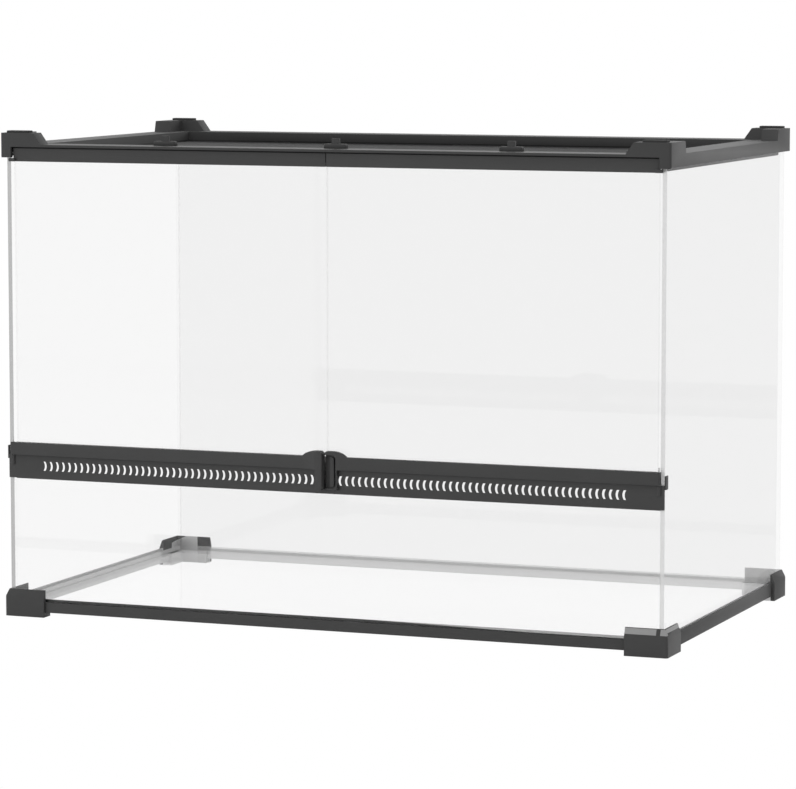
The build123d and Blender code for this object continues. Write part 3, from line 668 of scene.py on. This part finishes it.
class Bench:
    """Selects, copies and shapes pieces with Blender's operators."""

    JOIN_WITHIN = 2e-6
    FLAT_WITHIN = math.radians(0.4)
    SHARP_FROM = math.radians(38)
    SMOOTH_UP_TO = math.radians(36)

    def __init__(self, nodes: dict[str, bpy.types.Object]) -> None:
        """Take over the CAD nodes.

        Args:
            nodes: The CAD nodes by name.
        """
        self.nodes = nodes

    @staticmethod
    def only(piece: bpy.types.Object) -> None:
        """Select one object and make it the active one."""
        bpy.ops.object.select_all(action="DESELECT")
        piece.select_set(True)
        bpy.context.view_layer.objects.active = piece

    def merged_copy(self, node: str, name: str) -> bpy.types.Object:
        """Copy a CAD node as one clean mesh: joined corners and whole flat faces.

        Args:
            node: The CAD node's name.
            name: The new piece's name.

        Returns:
            The new piece, which isn't part of any body yet.
        """
        source = self.nodes[node]
        piece = bpy.data.objects.new(name, source.data.copy())
        piece.data.name = name
        bpy.context.scene.collection.objects.link(piece)
        self.only(piece)
        bpy.ops.object.mode_set(mode="EDIT")
        bpy.ops.mesh.select_all(action="SELECT")
        bpy.ops.mesh.remove_doubles(threshold=self.JOIN_WITHIN)
        bpy.ops.mesh.dissolve_limited(angle_limit=self.FLAT_WITHIN)
        bpy.ops.object.mode_set(mode="OBJECT")
        if piece.data.has_custom_normals:
            bpy.ops.mesh.customdata_custom_splitnormals_clear()
        return piece

    def ease(self, piece: bpy.types.Object, width: float, segments: int) -> None:
        """Round every sharp edge of a piece by a small bevel.

        Args:
            piece: The piece.
            width: The bevel's width in metres.
            segments: Facets across the bevel.
        """
        self.only(piece)
        bevel = piece.modifiers.new("eased", "BEVEL")
        bevel.width = width
        bevel.segments = segments
        bevel.limit_method = "ANGLE"
        bevel.angle_limit = self.SHARP_FROM
        bevel.use_clamp_overlap = True
        bevel.miter_outer = "MITER_SHARP"
        bpy.ops.object.modifier_apply(modifier=bevel.name)
        bpy.ops.object.shade_smooth_by_angle(angle=self.SMOOTH_UP_TO)

    def dress(
        self,
        piece: bpy.types.Object,
        body: str,
        slot: Slot,
        materials: list[bpy.types.Material],
        replaced: tuple[str, ...] = (),
    ) -> None:
        """Give a piece its materials and its body, and hide the nodes that it stands for.

        Args:
            piece: The finished piece.
            body: The CAD body that it rides on.
            slot: The record's material slot; not used.
            materials: Its materials in order.
            replaced: The CAD nodes that it stands for.
        """
        piece.data.materials.clear()
        for material in materials:
            piece.data.materials.append(material)
        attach(piece, body)
        if replaced:
            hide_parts(*replaced)
        LOG.info("%s: %d faces on %s", piece.name, len(piece.data.polygons), body)


def body_of_node(bodies: dict[str, list[str]], node: str) -> str:
    """Find the body that a CAD node belongs to.

    Args:
        bodies: The record's bodies with their nodes.
        node: The node's name.

    Returns:
        The body's name.
    """
    return next(body for body, members in bodies.items() if node in members)


# ---------------------------------------------------------------- sub-assemblies


@dataclass
class Mouldings:
    """The black plastic pieces, each a copy of its solid with eased edges."""

    bench: Bench
    bodies: dict[str, list[str]]
    plain: MouldedPlastic = MouldedPlastic()
    # These copies of the plastic carry painted light and painted shade: pale bands of painted
    # light on the back feet and rails where they show through the glass, a painted highlight on
    # the front right foot's lip, and painted shade in the screen's seam on the top frame.
    special: dict[str, MouldedPlastic] = field(
        default_factory=lambda: {
            "foot_front_right": MouldedPlastic("front_foot_plastic_painted_highlight", FrontFootPaintedHighlight(), 0.37),
            "foot_back_left": MouldedPlastic("back_left_foot_plastic_painted_light", BackLeftFootPaintedLight(), 0.95),
            "foot_back_right": MouldedPlastic("back_right_foot_plastic_painted_light", BackFootPaintedLight(), 0.9),
            "left_bottom_rail": MouldedPlastic("left_rail_plastic_painted_light", LeftRailPaintedLight(), 0.95),
            "back_bottom_rail": MouldedPlastic("back_rail_plastic_painted_light", BackRailPaintedLight(), 0.97),
            # The top frame's plastic is a darker copy, with more sheen, set to how the light falls
            # on the top frame: painted shade on the same plastic.
            "top_frame": MouldedPlastic(
                "top_plastic_painted_shade", ScreenSeamShade(), 0.022, dark=0.053, light=0.061, sheen_level=0.22
            ),
        }
    )
    ease_wide: float = 0.25 * MM
    ease_fine: float = 0.2 * MM
    ease_slots: float = 0.08 * MM
    ease_top: float = 0.7 * MM
    segments: int = 2

    def names(self) -> dict[str, float]:
        """List the plastic nodes with the width of their eased edges."""
        wide = [f"foot_{end}_{side}" for end in ENDS for side in SIDES]
        wide += [f"{place}_bottom_rail" for place in ENDS + SIDES]
        fine = ["screen_frame"]
        fine += [f"screen_latch_{place}" for place in ("left", "middle", "right")]
        fine += [f"{side}_door_{edge}_trim" for side in SIDES for edge in ("top", "bottom")]
        widths = {n: self.ease_wide for n in wide} | {n: self.ease_fine for n in fine}
        return widths | {"vent_bar": self.ease_slots, "top_frame": self.ease_top}

    def build(self) -> None:
        """Copy, ease and dress every moulding."""
        plastic = self.plain.build()
        for node, width in self.names().items():
            piece = self.bench.merged_copy(node, node + "_moulding")
            self.bench.ease(piece, width, self.segments)
            body = body_of_node(self.bodies, node)
            material = self.special[node].build() if node in self.special else plastic
            self.bench.dress(piece, body, Slot.PLASTIC, [material], (node,))


@dataclass(frozen=True)
class Pane:
    """One glass pane: the axis that it is thin along, its clearness and its front edge's tone."""

    node: str
    axis: ThinAxis
    pass_grey: float = 0.983
    front_grey: float = 0.8
    glance_share: float = 0.96


@dataclass
class Panes:
    """The seven glass panes, with clear faces and ground edges."""

    bench: Bench
    bodies: dict[str, list[str]]
    arris: float = 0.15 * MM
    square_on: float = 0.9
    faint_edge: GroundEdge = GroundEdge("pane_edge", 0.95, pass_grey=0.99, body_share=0.08)
    floor_edge: GroundEdge = GroundEdge("floor_glass_edge", 0.95, body_share=0.95)
    # The front edges are all one ground glass: their own pale tone, set lighter or darker pane by
    # pane as painted light and painted shade.
    panes: tuple[Pane, ...] = (
        Pane("floor_glass", ThinAxis.Z, 0.997, front_grey=0.3, glance_share=0.3),
        Pane("back_glass", ThinAxis.Y, 0.948),
        Pane("front_lower_glass", ThinAxis.Y),
        Pane("left_glass", ThinAxis.X, front_grey=0.42, glance_share=0.4),
        Pane("right_glass", ThinAxis.X, 0.976, front_grey=0.88, glance_share=0.2),
        Pane("left_door_glass", ThinAxis.Y),
        Pane("right_door_glass", ThinAxis.Y),
    )

    def build(self) -> None:
        """Copy, ease and dress every pane."""
        faint = self.faint_edge.build()
        for pane in self.panes:
            clear = ClearPane(pane.node + "_clear", pane.pass_grey, pane.glance_share).build()
            lies_flat = pane.axis is ThinAxis.Z
            # The floor pane's front edge takes the painted reflection of the black rail.
            shade = FloorEdgePaintedReflection() if lies_flat else None
            edge_name = pane.node + "_front_edge"
            front = GroundEdge(edge_name, pane.front_grey, painted_reflection_region=shade).build()
            rest = self.floor_edge.build() if lies_flat else faint
            piece = self.bench.merged_copy(pane.node, pane.node + "_pane")
            self.bench.ease(piece, self.arris, 1)
            body = body_of_node(self.bodies, pane.node)
            self.bench.dress(piece, body, Slot.GLASS, [clear, front, rest], (pane.node,))
            for face in piece.data.polygons:
                face.use_smooth = False
                if abs(face.normal[pane.axis.value]) > self.square_on:
                    face.material_index = 0
                else:
                    face.material_index = 1 if face.normal.y < -self.square_on else 2


@dataclass
class SmallParts:
    """The rubber pads, hinge pins, magnets and strike plates."""

    bench: Bench
    bodies: dict[str, list[str]]
    rubber: PadRubber = PadRubber()
    steel: BrightMetal = BrightMetal("pin_steel", 0.56, 0.3)
    nickel: BrightMetal = BrightMetal("magnet_nickel", 0.62, 0.22)

    def build(self) -> None:
        """Dress the small CAD nodes as they are, because their shapes are right."""
        rubber = self.rubber.build()
        steel = self.steel.build()
        nickel = self.nickel.build()
        chosen: dict[str, bpy.types.Material] = {}
        for end in ENDS:
            for side in SIDES:
                chosen[f"stacking_pad_{end}_{side}"] = rubber
        for side in SIDES:
            chosen[f"{side}_top_hinge_pin"] = steel
            chosen[f"{side}_bottom_hinge_pin"] = steel
            chosen[f"{side}_strike_plate"] = steel
            chosen[f"{side}_door_magnet"] = nickel
        for node, material in chosen.items():
            mesh = self.bench.nodes[node].data
            mesh.materials.clear()
            mesh.materials.append(material)
            LOG.info("%s keeps its solid", node)


@dataclass
class WovenScreen:
    """The screen's wire cloth: two layers of wires that lie across each other."""

    bench: Bench
    bodies: dict[str, list[str]]
    finish: CoatedWire = CoatedWire()
    pitch: float = 1.6 * MM
    radius: float = 0.19 * MM
    facets: int = 6
    smooth_up_to: float = math.radians(70)

    def build(self) -> None:
        """Make both layers of wires and let them stand for the mesh panel."""
        low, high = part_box("screen_mesh")
        middle = (low + high) / 2
        along_x = self._layer(low, high, middle.z - self.radius, 0)
        along_y = self._layer(low, high, middle.z + self.radius, 1)
        self.bench.only(along_x)
        along_y.select_set(True)
        bpy.ops.object.join()
        along_x.name = "woven_screen"
        bpy.ops.object.transform_apply(location=True, rotation=True, scale=True)
        bpy.ops.object.shade_smooth_by_angle(angle=self.smooth_up_to)
        body = body_of_node(self.bodies, "screen_mesh")
        self.bench.dress(along_x, body, Slot.WIRE, [self.finish.build()], ("screen_mesh",))

    def _layer(self, low: Vector, high: Vector, height: float, axis: int) -> bpy.types.Object:
        """Make one layer of parallel wires.

        Args:
            low: The panel's lowest corner.
            high: The panel's highest corner.
            height: The layer's height.
            axis: The axis that the wires run along, 0 for X and 1 for Y.

        Returns:
            The layer as one object.
        """
        across = 1 - axis
        length = high[axis] - low[axis]
        room = high[across] - low[across]
        count = int((room - 4 * self.radius) / self.pitch) + 1
        start = low[across] + (room - (count - 1) * self.pitch) / 2
        place = [0.0, 0.0, height]
        place[axis] = (low[axis] + high[axis]) / 2
        place[across] = start
        turn = (0.0, math.pi / 2, 0.0) if axis == 0 else (math.pi / 2, 0.0, 0.0)
        bpy.ops.object.select_all(action="DESELECT")
        bpy.ops.mesh.primitive_cylinder_add(
            vertices=self.facets, radius=self.radius, depth=length, location=place, rotation=turn
        )
        wire = bpy.context.active_object
        bpy.ops.object.transform_apply(location=True, rotation=True, scale=True)
        array = wire.modifiers.new("layer", "ARRAY")
        array.use_relative_offset = False
        array.use_constant_offset = True
        step = [0.0, 0.0, 0.0]
        step[across] = self.pitch
        array.constant_offset_displace = step
        array.count = count
        bpy.ops.object.modifier_apply(modifier=array.name)
        return wire


# ---------------------------------------------------------------- studio


@dataclass(frozen=True)
class Lamp:
    """One soft lamp: its place, its two sides in metres and its power in watts."""

    name: str
    place: tuple[float, float, float]
    size: tuple[float, float]
    power: float


@dataclass
class Studio:
    """The camera at the photograph's place, the white floor and the soft light."""

    lens: float = 174.53
    sensor: float = 36.0
    camera_at: tuple[float, float, float] = (1.03101, -2.65024, 0.45711)
    camera_turn: tuple[float, float, float] = (83.991, 0.0, 21.316)
    clip: tuple[float, float] = (0.05, 60.0)
    floor_size: float = 12.0
    floor_drop: float = 0.2 * MM
    floor_greys: tuple[float, float] = (0.9, 0.92)
    dust_scale: float = 6.0
    sky_for_light: float = 0.5
    aim: tuple[float, float, float] = (0.0, 0.0, 0.18)
    lamps: tuple[Lamp, ...] = (
        Lamp("key_lamp", (-1.2, -2.4, 0.4), (1.6, 0.6), 20.0),
        Lamp("side_lamp", (0.4, 0.0, 0.35), (0.04, 1.3), 0.75),
    )

    def build(self) -> None:
        """Make everything that isn't part of the object."""
        self._camera()
        self._world()
        self._floor()
        for lamp in self.lamps:
            self._light(lamp)
        scene = bpy.context.scene
        scene.view_settings.view_transform = "Standard"

    def _camera(self) -> None:
        """Set the camera at the photograph's viewing angle."""
        bpy.ops.object.select_all(action="DESELECT")
        turn = [math.radians(angle) for angle in self.camera_turn]
        bpy.ops.object.camera_add(location=self.camera_at, rotation=turn)
        camera = bpy.context.active_object
        camera.name = "photo_camera"
        camera.data.lens = self.lens
        camera.data.sensor_fit = "HORIZONTAL"
        camera.data.sensor_width = self.sensor
        camera.data.clip_start, camera.data.clip_end = self.clip
        bpy.context.scene.camera = camera

    def _world(self) -> None:
        """Make the surroundings white to the eye and softer as a light."""
        world = bpy.data.worlds.new("soft_room")
        bpy.context.scene.world = world
        world.use_nodes = True
        tree = world.node_tree
        tree.nodes.clear()
        path = tree.nodes.new("ShaderNodeLightPath")
        seen = tree.nodes.new("ShaderNodeMath")
        seen.operation = "MAXIMUM"
        tree.links.new(path.outputs["Is Camera Ray"], seen.inputs[0])
        tree.links.new(path.outputs["Is Transmission Ray"], seen.inputs[1])
        any_eye = tree.nodes.new("ShaderNodeMath")
        any_eye.operation = "MAXIMUM"
        tree.links.new(seen.outputs[0], any_eye.inputs[0])
        tree.links.new(path.outputs["Is Glossy Ray"], any_eye.inputs[1])
        strength = tree.nodes.new("ShaderNodeMapRange")
        strength.inputs["To Min"].default_value = self.sky_for_light
        strength.inputs["To Max"].default_value = 1.0
        tree.links.new(any_eye.outputs[0], strength.inputs["Value"])
        sky = tree.nodes.new("ShaderNodeBackground")
        sky.inputs["Color"].default_value = WHITE
        tree.links.new(strength.outputs[0], sky.inputs["Strength"])
        output = tree.nodes.new("ShaderNodeOutputWorld")
        tree.links.new(sky.outputs[0], output.inputs["Surface"])

    def _floor(self) -> None:
        """Lay the white floor: plain white to the camera, in mirrors and through glass, and pale
        grey paper to the light that bounces off it.
        """
        board = ShaderBoard("white_floor")
        dust = board.noise(self.dust_scale)
        path = board.add("ShaderNodeLightPath", output="Is Camera Ray")
        tone = {"Color": board.grey_mix(dust, *self.floor_greys)}
        paper = board.add("ShaderNodeBsdfDiffuse", inputs=tone)
        white = board.add("ShaderNodeEmission", inputs={"Color": WHITE})
        for name in ("Is Glossy Ray", "Is Transmission Ray"):
            path = path + board.add("ShaderNodeLightPath", output=name)
        material = board.finish(board.mixed(path.clamped(), paper, white))
        place = (0.0, 0.0, -self.floor_drop)
        bpy.ops.object.select_all(action="DESELECT")
        bpy.ops.mesh.primitive_plane_add(size=self.floor_size, location=place)
        floor = bpy.context.active_object
        floor.name = "floor"
        floor.data.materials.append(material)

    def _light(self, lamp: Lamp) -> None:
        """Add one lamp that faces the terrarium and shows in no mirror.

        Args:
            lamp: The lamp's place, size and power.
        """
        towards = Vector(self.aim) - Vector(lamp.place)
        turn = towards.to_track_quat("-Z", "Y").to_euler()
        bpy.ops.object.select_all(action="DESELECT")
        bpy.ops.object.light_add(type="AREA", location=lamp.place, rotation=turn)
        light = bpy.context.active_object
        light.name = lamp.name
        light.data.shape = "RECTANGLE"
        light.data.size, light.data.size_y = lamp.size
        light.data.energy = lamp.power
        light.visible_camera = False
        light.visible_glossy = False
        light.visible_transmission = False


def main() -> None:
    """Load the CAD model, dress it and set it in the studio."""
    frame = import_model()
    bodies = frame["record"]["behaviour"]["bodies"]
    bench = Bench(frame["nodes"])
    steps: list[tuple[str, Callable[[], None]]] = [
        ("studio", Studio().build),
        ("mouldings", Mouldings(bench, bodies).build),
        ("panes", Panes(bench, bodies).build),
        ("small parts", SmallParts(bench, bodies).build),
        ("woven screen", WovenScreen(bench, bodies).build),
    ]
    for title, build in steps:
        build()
        LOG.info("%s finished", title)


if __name__ == "__main__":
    logging.basicConfig(level=logging.INFO, format="%(name)s: %(message)s")
    main()
